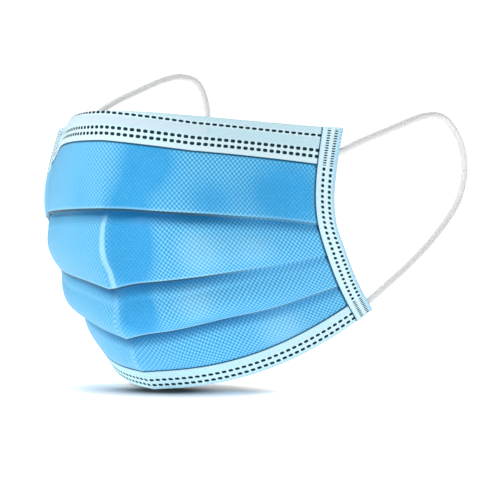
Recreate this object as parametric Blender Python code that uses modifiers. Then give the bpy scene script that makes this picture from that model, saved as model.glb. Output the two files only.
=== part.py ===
"""Disposable face mask, held open in the form it has when worn.

Frame: the mask faces -Y, the wearer is behind it at +Y, +Z is up and +X is the wearer's left.
The origin is where the mask rests on the bridge of the nose: the middle of the inside of the top hem.

The body of the mask is one surface. Five section curves run from the centre line to the side:
the two edges and the three pleat folds. A column runs down the mask across all five. Every cloth
piece is an open sheet laid along these columns, at a depth behind that surface, with a Solidify.
"""

import math

import bmesh
import bpy
import numpy as np
from mathutils import Vector

MM = 0.001

# Overall form
HALF_WIDTH = 70 * MM
FRONT_DEPTH = 80 * MM
HEIGHT = 106 * MM

# Cloth and clearances
CLOTH = 1.1 * MM
CLEARANCE = 0.3 * MM

# Hems and bindings
TOP_HEM_WIDTH = 12.5 * MM
LOW_HEM_WIDTH = 9.5 * MM
BINDING_WIDTH = 7.6 * MM
BINDING_ROUND = 1.6 * MM

# Nose wire
WIRE_LENGTH = 90 * MM
WIRE_WIDTH = 3.6 * MM
WIRE_THICKNESS = 1.0 * MM
WIRE_BELOW_TOP = 3.2 * MM

# Ear loops
LOOP_DIAMETER = 2.5 * MM
LOOP_STEPS = 52
ROUTE_STEPS = 24

# Section curves, from the centre line to the side. The y columns are shares of FRONT_DEPTH, the
# z columns shares of HEIGHT and the x columns shares of HALF_WIDTH. Each row is a curve with
# four handles: at the centre, in front, where the cheek turns, and at the side edge.
SECTIONS = {
    # name: centre_y, centre_z, front_x, front_y, front_z, turn_x, turn_y, turn_z, side_x, side_y, side_z
    "top_edge": (-0.022, 0.053, 0.343, -0.022, 0.053, 0.657, 0.490, 0.006, 0.979, 0.681, -0.009),
    "fold_one": (-0.058, -0.293, 0.500, -0.040, -0.301, 0.764, 0.380, -0.323, 0.994, 0.613, -0.355),
    "fold_two": (0.008, -0.584, 0.500, 0.053, -0.516, 0.729, 0.398, -0.513, 0.983, 0.695, -0.438),
    "fold_three": (0.132, -0.756, 0.429, 0.183, -0.703, 0.671, 0.463, -0.662, 0.966, 0.815, -0.547),
    "low_edge": (0.345, -0.947, 0.221, 0.368, -0.934, 0.600, 0.585, -0.940, 0.937, 0.988, -0.660),
}
CURVE_STEPS = 160

# Pleats: how far the cloth is folded back behind each fold, how far below the fold the next face
# takes to come forward again, at the centre line and at the side, and how far the face above the
# fold billows outwards.
PLEATS = {
    # fold: tuck_at_centre, tuck_at_side, ease_at_centre, ease_at_side, billow
    "fold_one": (3.5 * MM, 12.0 * MM, 8.0 * MM, 4.0 * MM, 0.4 * MM),
    "fold_two": (3.5 * MM, 4.0 * MM, 7.0 * MM, 4.0 * MM, 1.6 * MM),
    "fold_three": (3.5 * MM, 9.0 * MM, 6.0 * MM, 4.0 * MM, 3.0 * MM),
}
LAST_BILLOW = 1.2 * MM
BILLOW_REACH = 0.92

# Where the columns stand, as shares of the way from the centre line to the side
COLUMN_SHARES = (0, 0.06, 0.14, 0.23, 0.33, 0.43, 0.53, 0.63, 0.73, 0.83, 0.92, 1)
FACE_STEPS = 4
TURN_STEPS = 3
EASE_STEPS = 3
STRIP_STEPS = 2
BINDING_STEPS = (8, 5, 6, 8)

# Routes of the ear loops, from the top corner round the ear to the low corner, in millimetres.
LOOP_LEFT_ROUTE = (
    (59.6, 47.4, -10.4),
    (63.8, 51.0, -10.8),
    (66.8, 54.6, -9.8),
    (67.0, 60.5, -8.1),
    (66.0, 69.2, -6.2),
    (65.3, 81.1, -3.7),
    (64.5, 98.0, -0.1),
    (63.5, 118.8, 4.0),
    (63.0, 130.8, 4.4),
    (62.5, 140.0, 1.8),
    (62.1, 150.5, -7.6),
    (62.0, 153.0, -18.0),
    (62.3, 147.8, -29.6),
    (63.0, 130.7, -42.4),
    (64.0, 108.4, -53.9),
    (64.8, 90.0, -61.6),
    (64.3, 83.0, -65.1),
    (63.6, 78.6, -67.3),
    (62.1, 76.0, -67.8),
    (60.7, 74.2, -69.2),
    (59.3, 72.5, -70.6),
)
LOOP_RIGHT_ROUTE = (
    (-59.6, 47.4, -10.4),
    (-63.8, 51.0, -10.6),
    (-66.8, 55.2, -8.2),
    (-66.4, 62.0, -2.6),
    (-65.0, 78.6, 7.5),
    (-63.8, 99.7, 15.0),
    (-62.7, 118.0, 20.3),
    (-62.3, 129.0, 21.4),
    (-61.8, 139.0, 18.7),
    (-61.5, 144.4, 9.9),
    (-61.5, 144.5, -3.0),
    (-61.8, 138.5, -17.0),
    (-62.4, 125.0, -34.0),
    (-63.4, 106.5, -49.5),
    (-64.7, 90.0, -60.5),
    (-64.3, 83.0, -64.6),
    (-63.6, 78.6, -67.0),
    (-62.1, 76.0, -67.8),
    (-60.7, 74.2, -69.2),
    (-59.3, 72.5, -70.6),
)

# Colours: linear red, green, blue
BLUE_CLOTH = (0.110, 0.520, 0.830)
WHITE_CLOTH = (0.700, 0.820, 0.860)
WHITE_ELASTIC = (0.860, 0.870, 0.870)
COATED_WIRE = (0.820, 0.820, 0.800)

# Worked out from the sizes above
LAYER = CLOTH + CLEARANCE
POCKET = LAYER
PANEL_TOP = WIRE_BELOW_TOP + WIRE_WIDTH + CLEARANCE
PANEL_INSET = CLOTH + BINDING_ROUND
NEARBY = 1e-3


def curve_points(row):
    """The section curve of one row, as close points from the centre line to the side."""
    centre_y, centre_z, front_x, front_y, front_z, turn_x, turn_y, turn_z, side_x, side_y, side_z = row
    size = np.array((HALF_WIDTH, FRONT_DEPTH, HEIGHT))
    centre = np.array((0, centre_y, centre_z)) * size
    front = np.array((front_x, front_y, front_z)) * size
    turn = np.array((turn_x, turn_y, turn_z)) * size
    side = np.array((side_x, side_y, side_z)) * size
    t = np.linspace(0, 1, CURVE_STEPS + 1)[:, None]
    return (1 - t) ** 3 * centre + 3 * (1 - t) ** 2 * t * front + 3 * (1 - t) * t ** 2 * turn + t ** 3 * side


def lengths_along(points):
    """How far each point lies along the line through all of them."""
    steps = np.linalg.norm(np.diff(points, axis=0), axis=1)
    return np.concatenate(([0], np.cumsum(steps)))


CURVES = [curve_points(row) for row in SECTIONS.values()]
CURVE_LENGTHS = [lengths_along(points) for points in CURVES]
FOLD_NUMBER = {name: number for number, name in enumerate(SECTIONS)}


def smooth_between(knots, tangents, number, t):
    """The point at a share t of the smooth curve from one knot to the next."""
    return (
        (2 * t ** 3 - 3 * t ** 2 + 1) * knots[number]
        + (t ** 3 - 2 * t ** 2 + t) * tangents[number]
        + (3 * t ** 2 - 2 * t ** 3) * knots[number + 1]
        + (t ** 3 - t ** 2) * tangents[number + 1]
    )


def point_on_section(number, share, inset):
    """A point on a section curve that is cut short at the side by an inset."""
    lengths = CURVE_LENGTHS[number]
    along = share * (lengths[-1] - inset)
    return np.array([np.interp(along, lengths, CURVES[number][:, axis]) for axis in range(3)])


class Column:
    """A smooth line down the mask, across the five sections at the same share of their length.

    A level counts the sections from the top: 1.5 is halfway from the first fold to the second.
    """

    def __init__(self, share, inset=0.0):
        self.share = share
        self.inset = inset
        self.knots = np.array([point_on_section(n, share, inset) for n in range(len(SECTIONS))])
        self.below_top = lengths_along(self.knots)
        steps = np.diff(self.below_top)[:, None]
        slopes = np.diff(self.knots, axis=0) / steps
        inner = (slopes[:-1] * steps[1:] + slopes[1:] * steps[:-1]) / (steps[:-1] + steps[1:])
        first = 1.5 * slopes[0] - 0.5 * inner[0]
        last = 1.5 * slopes[-1] - 0.5 * inner[-1]
        self.tangents = np.vstack((first, inner, last))

    def point(self, level):
        number = min(max(int(level), 0), len(self.knots) - 2)
        t = level - number
        step = self.below_top[number + 1] - self.below_top[number]
        return smooth_between(self.knots, self.tangents * step, number, t)

    def level(self, below_top):
        return float(np.interp(below_top, self.below_top, range(len(self.knots))))

    def inward(self, level):
        """The direction from the mask's outer face towards the wearer."""
        ahead = Column(min(self.share + NEARBY, 1), self.inset)
        behind = Column(max(self.share - NEARBY, 0), self.inset)
        across = ahead.point(level) - behind.point(level)
        down = self.point(level + NEARBY) - self.point(level - NEARBY)
        direction = np.cross(across, down)
        if self.share == 0:
            direction[0] = 0
        return direction / np.linalg.norm(direction)

    def place(self, below_top, depth):
        """The point at a distance below the top edge and a depth behind the surface."""
        level = self.level(below_top)
        return self.point(level) + self.inward(level) * depth


def blend(start, end, share):
    return start + (end - start) * share


def smooth_step(share):
    return share * share * (3 - 2 * share)


def face_path(start, end, billow):
    """The steps down one face of the panel, after its first point."""
    shares = [step / FACE_STEPS for step in range(1, FACE_STEPS + 1)]
    return [(blend(start, end, share), -billow * math.sin(math.pi * share)) for share in shares]


def panel_path(column):
    """Down one column of the panel: distance below the top edge, and depth behind the surface."""
    radius = LAYER / 2
    slack = max(0, 1 - (column.share / BILLOW_REACH) ** 4)
    path = [(PANEL_TOP, 0), (TOP_HEM_WIDTH, 0)]
    for fold, (centre_tuck, side_tuck, centre_ease, side_ease, billow) in PLEATS.items():
        fold_line = column.below_top[FOLD_NUMBER[fold]]
        tuck = blend(centre_tuck, side_tuck, smooth_step(column.share))
        ease = blend(centre_ease, side_ease, column.share)
        path += face_path(path[-1][0], fold_line, billow * slack)
        for step in range(1, TURN_STEPS + 1):
            angle = math.pi * step / TURN_STEPS
            path.append((fold_line + radius * math.sin(angle), radius * (1 - math.cos(angle))))
        valley = fold_line - tuck
        path.append((blend(fold_line, valley, 0.5), LAYER))
        path.append((valley, LAYER))
        for step in range(1, TURN_STEPS + 1):
            angle = math.pi * step / TURN_STEPS
            path.append((valley - radius * math.sin(angle), LAYER + radius * (1 - math.cos(angle))))
        path.append((blend(valley, fold_line, 0.5), 2 * LAYER))
        ease_start = fold_line + radius
        path.append((ease_start, 2 * LAYER))
        for step in range(1, EASE_STEPS + 1):
            share = step / EASE_STEPS
            path.append((ease_start + ease * share, 2 * LAYER * (1 - smooth_step(share))))
    low_end = column.below_top[-1] - CLOTH - CLEARANCE - POCKET
    low_line = column.below_top[-1] - LOW_HEM_WIDTH
    return path + face_path(path[-1][0], low_line, LAST_BILLOW * slack) + [(low_end, 0)]


def hem_path(edge, width, into_mask):
    """A strip folded over an edge: up the outer face, round the edge and down the inside."""
    centre = edge + into_mask * (CLOTH / 2 + POCKET)
    line = edge + into_mask * width
    path = [(blend(line, centre, step / STRIP_STEPS), -POCKET) for step in range(STRIP_STEPS + 1)]
    for step in range(1, 2 * TURN_STEPS):
        angle = math.pi * step / (2 * TURN_STEPS)
        path.append((centre - into_mask * POCKET * math.sin(angle), -POCKET * math.cos(angle)))
    path += [(blend(centre, line, step / STRIP_STEPS), POCKET) for step in range(STRIP_STEPS + 1)]
    return path


def grid_mesh(name, rows):
    """An open sheet: a grid whose vertices are moved to the points of the rows."""
    down, across = len(rows), len(rows[0])
    sheet = bmesh.new()
    bmesh.ops.create_grid(sheet, x_segments=across - 1, y_segments=down - 1, size=1)
    sheet.verts.ensure_lookup_table()
    for vert in sheet.verts:
        column = round((vert.co.x + 1) / 2 * (across - 1))
        row = round((1 - vert.co.y) / 2 * (down - 1))
        vert.co = Vector(rows[row][column])
    mesh = bpy.data.meshes.new(name)
    sheet.to_mesh(mesh)
    sheet.free()
    return mesh


def add_object(name, data, material, collection):
    piece = bpy.data.objects.new(name, data)
    piece.data.materials.append(material)
    collection.objects.link(piece)
    return piece


def add_mirror(piece):
    mirror = piece.modifiers.new("Mirror", "MIRROR")
    mirror.merge_threshold = 0.01 * MM
    mirror.use_clip = True


def add_thickness(piece, thickness):
    solidify = piece.modifiers.new("Thickness", "SOLIDIFY")
    solidify.thickness = thickness
    solidify.offset = 0
    solidify.use_even_offset = True
    solidify.use_quality_normals = True
    piece.data.shade_smooth()


def make_sheet(name, columns, paths, material, collection, thickness=CLOTH):
    """A mirrored cloth piece from the columns of its half and the path down each of them."""
    lines = [[column.place(*step) for step in path] for column, path in zip(columns, paths)]
    rows = list(zip(*lines))
    for row in rows:
        row[0][0] = 0
    piece = add_object(name, grid_mesh(name, rows), material, collection)
    add_mirror(piece)
    add_thickness(piece, thickness)
    return piece


def make_panel(material, collection):
    columns = [Column(share, PANEL_INSET) for share in COLUMN_SHARES]
    make_sheet("pleated_panel", columns, [panel_path(column) for column in columns], material, collection)


def make_hems(material, collection):
    columns = [Column(share, BINDING_WIDTH + CLEARANCE) for share in COLUMN_SHARES]
    top = [hem_path(0, TOP_HEM_WIDTH, 1) for _ in columns]
    make_sheet("top_hem", columns, top, material, collection)
    low = [hem_path(column.below_top[-1], LOW_HEM_WIDTH, -1) for column in columns]
    make_sheet("bottom_hem", columns, low, material, collection)


def make_nose_wire(material, collection):
    half = WIRE_LENGTH / 2
    shares = [half * share / CURVE_LENGTHS[0][-1] for share in COLUMN_SHARES]
    columns = [Column(share) for share in shares]
    path = [(WIRE_BELOW_TOP + WIRE_WIDTH * share, 0) for share in (0, 0.5, 1)]
    make_sheet("nose_wire", columns, [path] * len(columns), material, collection, WIRE_THICKNESS)


def binding_levels(edge):
    """The stations down the side edge, closer where the jaw turns."""
    stations = []
    for number, steps in enumerate(BINDING_STEPS):
        start, end = edge.below_top[number], edge.below_top[number + 1]
        stations += [blend(start, end, step / steps) for step in range(steps)]
    return stations + [edge.below_top[-1]]


def binding_depth(edge, below_top):
    """How deep the inner leaf lies: it swells inwards over the stacked layers of the pleats."""
    lean = POCKET
    full = 2 * LAYER + POCKET
    first_valley = edge.below_top[FOLD_NUMBER["fold_one"]] - PLEATS["fold_one"][1]
    last_fold = edge.below_top[FOLD_NUMBER["fold_three"]]
    low_line = edge.below_top[-1] - LOW_HEM_WIDTH
    stations = (TOP_HEM_WIDTH, first_valley - 2 * CLOTH, last_fold + 2 * CLOTH, low_line + 2 * CLOTH)
    return float(np.interp(below_top, stations, (lean, full, full, lean)))


def binding_section(inner_depth):
    """Across the binding: distance in from the side edge, and depth behind the surface."""
    outer_depth = -POCKET
    middle = (outer_depth + inner_depth) / 2
    reach = (inner_depth - outer_depth) / 2
    turn_start = CLOTH / 2 + BINDING_ROUND
    section = [(BINDING_WIDTH, outer_depth), ((BINDING_WIDTH + turn_start) / 2, outer_depth)]
    for step in range(2 * TURN_STEPS + 1):
        angle = math.pi * (step / (2 * TURN_STEPS) - 0.5)
        section.append((turn_start - BINDING_ROUND * math.cos(angle), middle + reach * math.sin(angle)))
    section += [((BINDING_WIDTH + turn_start) / 2, inner_depth), (BINDING_WIDTH, inner_depth)]
    return section


def make_bindings(material, collection):
    edge = Column(1)
    rows = []
    for below_top in binding_levels(edge):
        level = edge.level(below_top)
        row = []
        for inset, depth in binding_section(binding_depth(edge, below_top)):
            column = Column(1, inset)
            row.append(column.point(level) + column.inward(level) * depth)
        rows.append(row)
    for name, side in (("side_binding_left", 1), ("side_binding_right", -1)):
        mirrored = [[point * (side, 1, 1) for point in row] for row in rows]
        piece = add_object(name, grid_mesh(name, mirrored), material, collection)
        add_thickness(piece, CLOTH)


def smooth_route(route, count):
    """Evenly spaced points along a smooth curve through a cord's route."""
    knots = np.array(route) * MM
    spans = np.sqrt(np.linalg.norm(np.diff(knots, axis=0), axis=1))
    times = np.concatenate(([0], np.cumsum(spans)))
    slopes = np.gradient(knots, times, axis=0)
    fine = []
    for number, span in enumerate(spans):
        for t in np.linspace(0, 1, ROUTE_STEPS, endpoint=False):
            fine.append(smooth_between(knots, slopes * span, number, t))
    fine = np.array(fine + [knots[-1]])
    lengths = lengths_along(fine)
    along = np.linspace(0, lengths[-1], count)
    return np.stack([np.interp(along, lengths, fine[:, axis]) for axis in range(3)], axis=1)


def make_ear_loop(name, route, material, collection):
    cord = bpy.data.curves.new(name, "CURVE")
    cord.dimensions = "3D"
    cord.bevel_depth = LOOP_DIAMETER / 2
    cord.bevel_resolution = 2
    cord.use_fill_caps = True
    points = smooth_route(route, LOOP_STEPS)
    line = cord.splines.new("POLY")
    line.points.add(len(points) - 1)
    for spline_point, point in zip(line.points, points):
        spline_point.co = (*point, 1)
    add_object(name, cord, material, collection)


def make_material(name, colour, roughness):
    material = bpy.data.materials.new(name)
    material.use_nodes = True
    shader = material.node_tree.nodes["Principled BSDF"]
    shader.inputs["Base Color"].default_value = (*colour, 1)
    shader.inputs["Roughness"].default_value = roughness
    shader.inputs["Metallic"].default_value = 0
    return material


def clear_scene():
    for piece in list(bpy.data.objects):
        bpy.data.objects.remove(piece)


def build():
    clear_scene()
    collection = bpy.data.collections.new("disposable_face_mask")
    bpy.context.scene.collection.children.link(collection)
    make_panel(make_material("blue_spunbond", BLUE_CLOTH, 0.75), collection)
    white = make_material("white_spunbond", WHITE_CLOTH, 0.75)
    make_hems(white, collection)
    make_bindings(white, collection)
    make_nose_wire(make_material("coated_wire", COATED_WIRE, 0.45), collection)
    elastic = make_material("white_elastic", WHITE_ELASTIC, 0.85)
    make_ear_loop("ear_loop_left", LOOP_LEFT_ROUTE, elastic, collection)
    make_ear_loop("ear_loop_right", LOOP_RIGHT_ROUTE, elastic, collection)


build()
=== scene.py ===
"""Looks of a disposable face mask, held open in the form it has when worn.

The mask faces -Y, +Z is up and +X is the wearer's left, which is the near side in the camera's view.
The origin is where the mask rests on the bridge of the nose. All lengths are in metres.
"""

import math

import bmesh
import bpy
import numpy as np
from mathutils import Matrix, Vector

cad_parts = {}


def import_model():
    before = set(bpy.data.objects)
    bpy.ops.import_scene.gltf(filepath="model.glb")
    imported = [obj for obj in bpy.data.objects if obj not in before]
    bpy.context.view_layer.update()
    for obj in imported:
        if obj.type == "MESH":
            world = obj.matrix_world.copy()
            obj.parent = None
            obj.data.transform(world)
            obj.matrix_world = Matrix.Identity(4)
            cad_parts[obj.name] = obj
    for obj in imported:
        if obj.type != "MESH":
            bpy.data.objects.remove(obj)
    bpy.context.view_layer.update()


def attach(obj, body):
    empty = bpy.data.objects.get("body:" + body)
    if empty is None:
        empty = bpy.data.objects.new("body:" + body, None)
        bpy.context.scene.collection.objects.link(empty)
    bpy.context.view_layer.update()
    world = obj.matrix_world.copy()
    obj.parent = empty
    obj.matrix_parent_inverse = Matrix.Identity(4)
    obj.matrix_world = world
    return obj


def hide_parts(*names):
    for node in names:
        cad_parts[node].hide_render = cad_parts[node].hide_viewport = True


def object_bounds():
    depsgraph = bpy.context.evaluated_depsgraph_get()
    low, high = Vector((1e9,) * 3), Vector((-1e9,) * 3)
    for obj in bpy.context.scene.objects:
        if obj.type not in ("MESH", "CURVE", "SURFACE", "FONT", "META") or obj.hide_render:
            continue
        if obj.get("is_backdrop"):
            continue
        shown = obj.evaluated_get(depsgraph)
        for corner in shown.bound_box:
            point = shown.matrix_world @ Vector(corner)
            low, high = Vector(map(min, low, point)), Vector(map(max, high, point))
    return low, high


MM = 0.001

# Camera: angles in degrees, place and far end in metres, lens and sensor in millimetres
CAMERA_AZIMUTH = 35.47
CAMERA_ELEVATION = 2.17
CAMERA_PLACE = (0.6544, -0.8281, -0.0065)
CAMERA_LENS = 203.05
CAMERA_SENSOR = 36
CAMERA_FAR_END = 20

# Overall form, as in the CAD source. The rows of sections weren't chosen by hand: a scratch script
# fitted them to points measured on the photo, as report.md says.
HALF_WIDTH = 70 * MM
FRONT_DEPTH = 80 * MM
HEIGHT = 106 * MM
SECTIONS = {
    # name: centre_y, centre_z, front_x, front_y, front_z, turn_x, turn_y, turn_z, side_x, side_y, side_z
    "top_edge": (-0.022, 0.053, 0.343, -0.022, 0.053, 0.657, 0.490, 0.006, 0.979, 0.681, -0.009),
    "fold_one": (-0.058, -0.293, 0.500, -0.040, -0.301, 0.764, 0.380, -0.323, 0.994, 0.613, -0.355),
    "fold_two": (0.008, -0.584, 0.500, 0.053, -0.516, 0.729, 0.398, -0.513, 0.983, 0.695, -0.438),
    "fold_three": (0.132, -0.756, 0.429, 0.183, -0.703, 0.671, 0.463, -0.662, 0.966, 0.815, -0.547),
    "low_edge": (0.345, -0.947, 0.221, 0.368, -0.934, 0.600, 0.585, -0.940, 0.937, 0.988, -0.660),
}
CURVE_STEPS = 400
FOLD_NUMBER = {name: number for number, name in enumerate(SECTIONS)}

# Pleats, as in the CAD source
PLEATS = {
    # fold: tuck_at_centre, tuck_at_side, ease_at_centre, ease_at_side, billow
    "fold_one": (3.5 * MM, 12.0 * MM, 8.0 * MM, 4.0 * MM, 0.4 * MM),
    "fold_two": (3.5 * MM, 4.0 * MM, 7.0 * MM, 4.0 * MM, 1.6 * MM),
    "fold_three": (3.5 * MM, 9.0 * MM, 6.0 * MM, 4.0 * MM, 3.0 * MM),
}
LAST_BILLOW = 1.2 * MM
BILLOW_REACH = 0.92
BILLOW_POWER = 4

# How far the crease lifts a fold at the centre, and how far to each side the lift reaches
FOLD_LIFTS = {"fold_one": 0.0, "fold_two": 0.8 * MM, "fold_three": 0.0}
LIFT_REACH = 16 * MM

# Widths of the folded strips. The top one's edge curls back over the wire at the nose.
TOP_HEM_WIDTH = 13.6 * MM
TOP_HEM_ACROSS = (-84, -72, -50, -20, 0, 15, 34, 84)
TOP_HEM_WIDTHS = (13.6, 12.6, 10.6, 10.7, 11.0, 12.0, 13.2, 13.7)
LOW_HEM_WIDTH = 9.5 * MM
BINDING_WIDTH = 7.6 * MM

# The two plies that show, and how far each stands from the middle of the cloth
PLY = 0.24 * MM
PLY_OFFSET = 0.15 * MM

# The step from layer to layer in a pleat, and how far the cloth below a fold stands back. The
# recess closes towards the sides, from RECESS_END on, over RECESS_FADE: shares of the half width.
LAYER = 0.7 * MM
RECESS = 2.8 * MM
RECESS_END = 0.40
RECESS_FADE = 0.3

# The folded strips, how far each leaf stands from the middle of the cloth, and the side's turn
STRIP = 0.28 * MM
STRIP_OFFSET = 0.50 * MM
EDGE_ROUND = 1.2 * MM

# How deep the panel's edges lie inside the strips
PANEL_TOP = 6.6 * MM
PANEL_LOW = 1.2 * MM
PANEL_INSET = 2.2 * MM

# Rows and columns of the meshes
PANEL_COLUMNS = 211
MIDDLE_CROWDING = 0.42
HIDDEN_ROWS = 6
FACE_ROWS = {"fold_one": 26, "fold_two": 30, "fold_three": 22}
LAST_FACE_ROWS = 14
TURN_ROWS = 7
TUCK_ROWS = 6
RETURN_ROWS = 7
EASE_ROWS = 9
HEM_COLUMNS = 421
HEM_LEAF_ROWS = 36
HEM_TURN_ROWS = 9
SIDE_COLUMNS = 340
SIDE_LEAF_ROWS = 26
SIDE_TURN_ROWS = 10
WIRE_COLUMNS = 121
WIRE_ROWS = 7
LOOP_RINGS = 1001
LOOP_SIDES = 20
ROUTE_STEPS = 24

# Stand for a fold and a strip's end that are too far away to matter, in metres and in millimetres
NO_FOLD_NEAR = 1.0
NO_END_NEAR = 99.0

# The side strips swell over the pleats, from above the first valley to below the last fold
SWELL_ABOVE = 2 * MM
SWELL_BELOW = 1 * MM
SWELL_INTO_HEM = 2 * MM

# Nose wire
WIRE_HALF = 45 * MM
WIRE_TAIL = 5.5 * MM
WIRE_WIDTH = 3.6 * MM
WIRE_ABOVE_LINE = 5.9 * MM
WIRE_THICKNESS = 0.40 * MM
WIRE_OUT = 0.10 * MM

# How the wire shows through the hem: the rise over it, and how the rise fades at its end and edges
WIRE_RISE = 0.22 * MM
WIRE_END_FADE = 1.0 * MM
WIRE_EDGE_START = 2.2
WIRE_EDGE_FALL = 1.9
# How white it shows: the distance from the middle in millimetres, and the share at each
WIRE_WHITENESS = ((8, 25, 40), (0.9, 0.55, 0.35))

# Welds: the length, width and pitch of each kind, and the rows of each strip by distance from its line.
# A dent ends where the square of the distance from its middle, in half sizes, reaches WELD_FADE.
WELD_DEPTH = 0.16 * MM
WELD_FADE = 1.8
DASH = {"length": 1.90 * MM, "width": 1.00 * MM, "pitch": 2.53 * MM}
DOT = {"length": 1.80 * MM, "width": 1.32 * MM, "pitch": 2.53 * MM}
ROUND_DOT = {"length": 1.28 * MM, "width": 1.28 * MM, "pitch": 2.05 * MM}
STITCH = {"length": 0.56 * MM, "width": 1.45 * MM, "pitch": 0.90 * MM}
TOP_HEM_ROWS = ((10.35 * MM, DASH), (4.85 * MM, DOT), (2.6 * MM, DOT))
LOW_HEM_ROWS = ((4.3 * MM, DOT), (7.0 * MM, DOT))
BINDING_ROWS = (2.55 * MM, 5.3 * MM)
STITCH_INSET = 0.6 * MM
STITCH_PAST_HEM = 0.5 * MM
WHOLE_STRIP = (-1.0, 1.0)

# How much blue shows through each strip: millimetres across it, and the share at each
TOP_TINT = ((0, 5.4, 6.0, 9.2, 9.6, 10.9, 11.4, 14), (0.12, 0.15, 0.8, 0.8, 0.15, 0.15, 0.6, 0.75))
LOW_TINT = ((0, 2.8, 3.4, 7.8, 8.3, 9.5), (0.35, 0.35, 0.1, 0.1, 0.4, 0.5))
SIDE_TINT = ((0, 0.6, 1.2, 5.6, 6.3, 7.5), (0.25, 0.15, 0.1, 0.1, 0.7, 0.8))

# The centre crease at each level: where it runs and how far it stands out, and how far from its
# line it has fallen to about a third, all in millimetres
CREASE_LEVELS = (0.0, 0.5, 1.0, 1.33, 1.5, 1.64, 1.75, 1.93, 2.1, 3.0, 4.0)
CREASE_ACROSS = (1.5, 1.5, 0.7, 0.6, 1.0, 1.9, 3.0, 3.1, 1.9, 0.5, 0.0)
CREASE_HEIGHT = (0.3, 0.5, 0.8, 1.0, 1.0, 1.0, 1.0, 1.0, 0.9, 0.6, 0.2)
CREASE_REACH = (5.0, 5.0, 2.6, 2.4, 2.4, 2.4, 2.4, 2.4, 2.4, 2.6, 4.0)
CREASE_ROUND = 0.55

# Slow waves of the cloth
WAVES = (
    # height_mm, across_mm_per_radian, down_mm_per_radian, phase
    (0.26, 11.0, 23.0, 0.6),
    (0.20, 7.3, -15.0, 2.1),
    (0.12, 4.9, 9.0, 4.0),
)

# How far in from a hem or a side strip the relief of the cloth is whole
TOP_CALM = 9 * MM
LOW_CALM = 6 * MM
WAVE_CALM = 14 * MM
HOLLOW_CALM = 10 * MM

# The painted shade and highlights along the folds are weaker towards the sides, and weakest beside the
# second fold: start and width as shares of the half width, then the loss, the further loss and its levels
WEAK_START = 0.35
WEAK_WIDTH = 0.40
WEAK_LOSS = 0.45
WEAK_MORE = 0.40
WEAK_LEVEL = 2.05
WEAK_LEVEL_REACH = 0.35

# Soft hollows and swellings of the worn cloth
SOFT_FORMS = (
    # across_mm, level, half_width_mm, half_height_in_levels, hollow_mm
    (18.0, 0.50, 10.0, 0.30, 2.2),
    (10.0, 1.00, 8.0, 0.28, 1.8),
    (11.0, 1.50, 8.5, 0.40, 2.8),
    (9.0, 2.50, 7.0, 0.45, 2.4),
    (36.0, 1.60, 9.0, 0.40, -1.0),
    (30.0, 2.50, 9.0, 0.40, -0.8),
    (71.0, 0.72, 15.0, 0.36, 1.8),
    (42.0, 0.85, 10.0, 0.24, 1.1),
    (56.0, 1.60, 10.0, 0.40, -0.7),
    (56.0, 3.40, 10.0, 0.40, -0.9),
    (-12.0, 0.90, 8.0, 0.40, 0.5),
    (-74.0, 0.60, 8.0, 0.60, -1.6),
    (-72.0, 1.60, 8.0, 0.50, -0.9),
)

# Ear loops, as in the CAD source, flattened at their ends and knitted in six wales
LOOP_DIAMETER = 2.5 * MM
PRESSED_LENGTH = 4.5 * MM
PRESSED_FADE = 4 * MM
PRESSED_THICK = 0.5
PRESSED_WIDE = 1.3
KNIT_WALES = 6
KNIT_TWIST = 0.9 * MM
KNIT_COURSE = 0.55 * MM
KNIT_SWELL = 0.015
LOOP_LEFT_ROUTE = (
    (59.6, 47.4, -10.4),
    (63.8, 51.0, -10.8),
    (66.8, 54.6, -9.8),
    (67.0, 60.5, -8.1),
    (66.0, 69.2, -6.2),
    (65.3, 81.1, -3.7),
    (64.5, 98.0, -0.1),
    (63.5, 118.8, 4.0),
    (63.0, 130.8, 4.4),
    (62.5, 140.0, 1.8),
    (62.1, 150.5, -7.6),
    (62.0, 153.0, -18.0),
    (62.3, 147.8, -29.6),
    (63.0, 130.7, -42.4),
    (64.0, 108.4, -53.9),
    (64.8, 90.0, -61.6),
    (64.3, 83.0, -65.1),
    (63.6, 78.6, -67.3),
    (62.1, 76.0, -67.8),
    (60.7, 74.2, -69.2),
    (59.3, 72.5, -70.6),
)
LOOP_RIGHT_ROUTE = (
    (-59.6, 47.4, -10.4),
    (-63.8, 51.0, -10.6),
    (-66.8, 55.2, -8.2),
    (-66.4, 62.0, -2.6),
    (-65.0, 78.6, 7.5),
    (-63.8, 99.7, 15.0),
    (-62.7, 118.0, 20.3),
    (-62.3, 129.0, 21.4),
    (-61.8, 139.0, 18.7),
    (-61.5, 144.4, 9.9),
    (-61.5, 144.5, -3.0),
    (-61.8, 138.5, -17.0),
    (-62.4, 125.0, -34.0),
    (-63.4, 106.5, -49.5),
    (-64.7, 90.0, -60.5),
    (-64.3, 83.0, -64.6),
    (-63.6, 78.6, -67.0),
    (-62.1, 76.0, -67.8),
    (-60.7, 74.2, -69.2),
    (-59.3, 72.5, -70.6),
)

# Colours: linear red, green, blue
SKY_BLUE = (0.205, 0.575, 0.790)
DEEP_BLUE = (0.002, 0.285, 0.630)
# The blue of the painted shade under the folds
FOLD_SHADOW_BLUE = (0.001, 0.160, 0.420)
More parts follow.
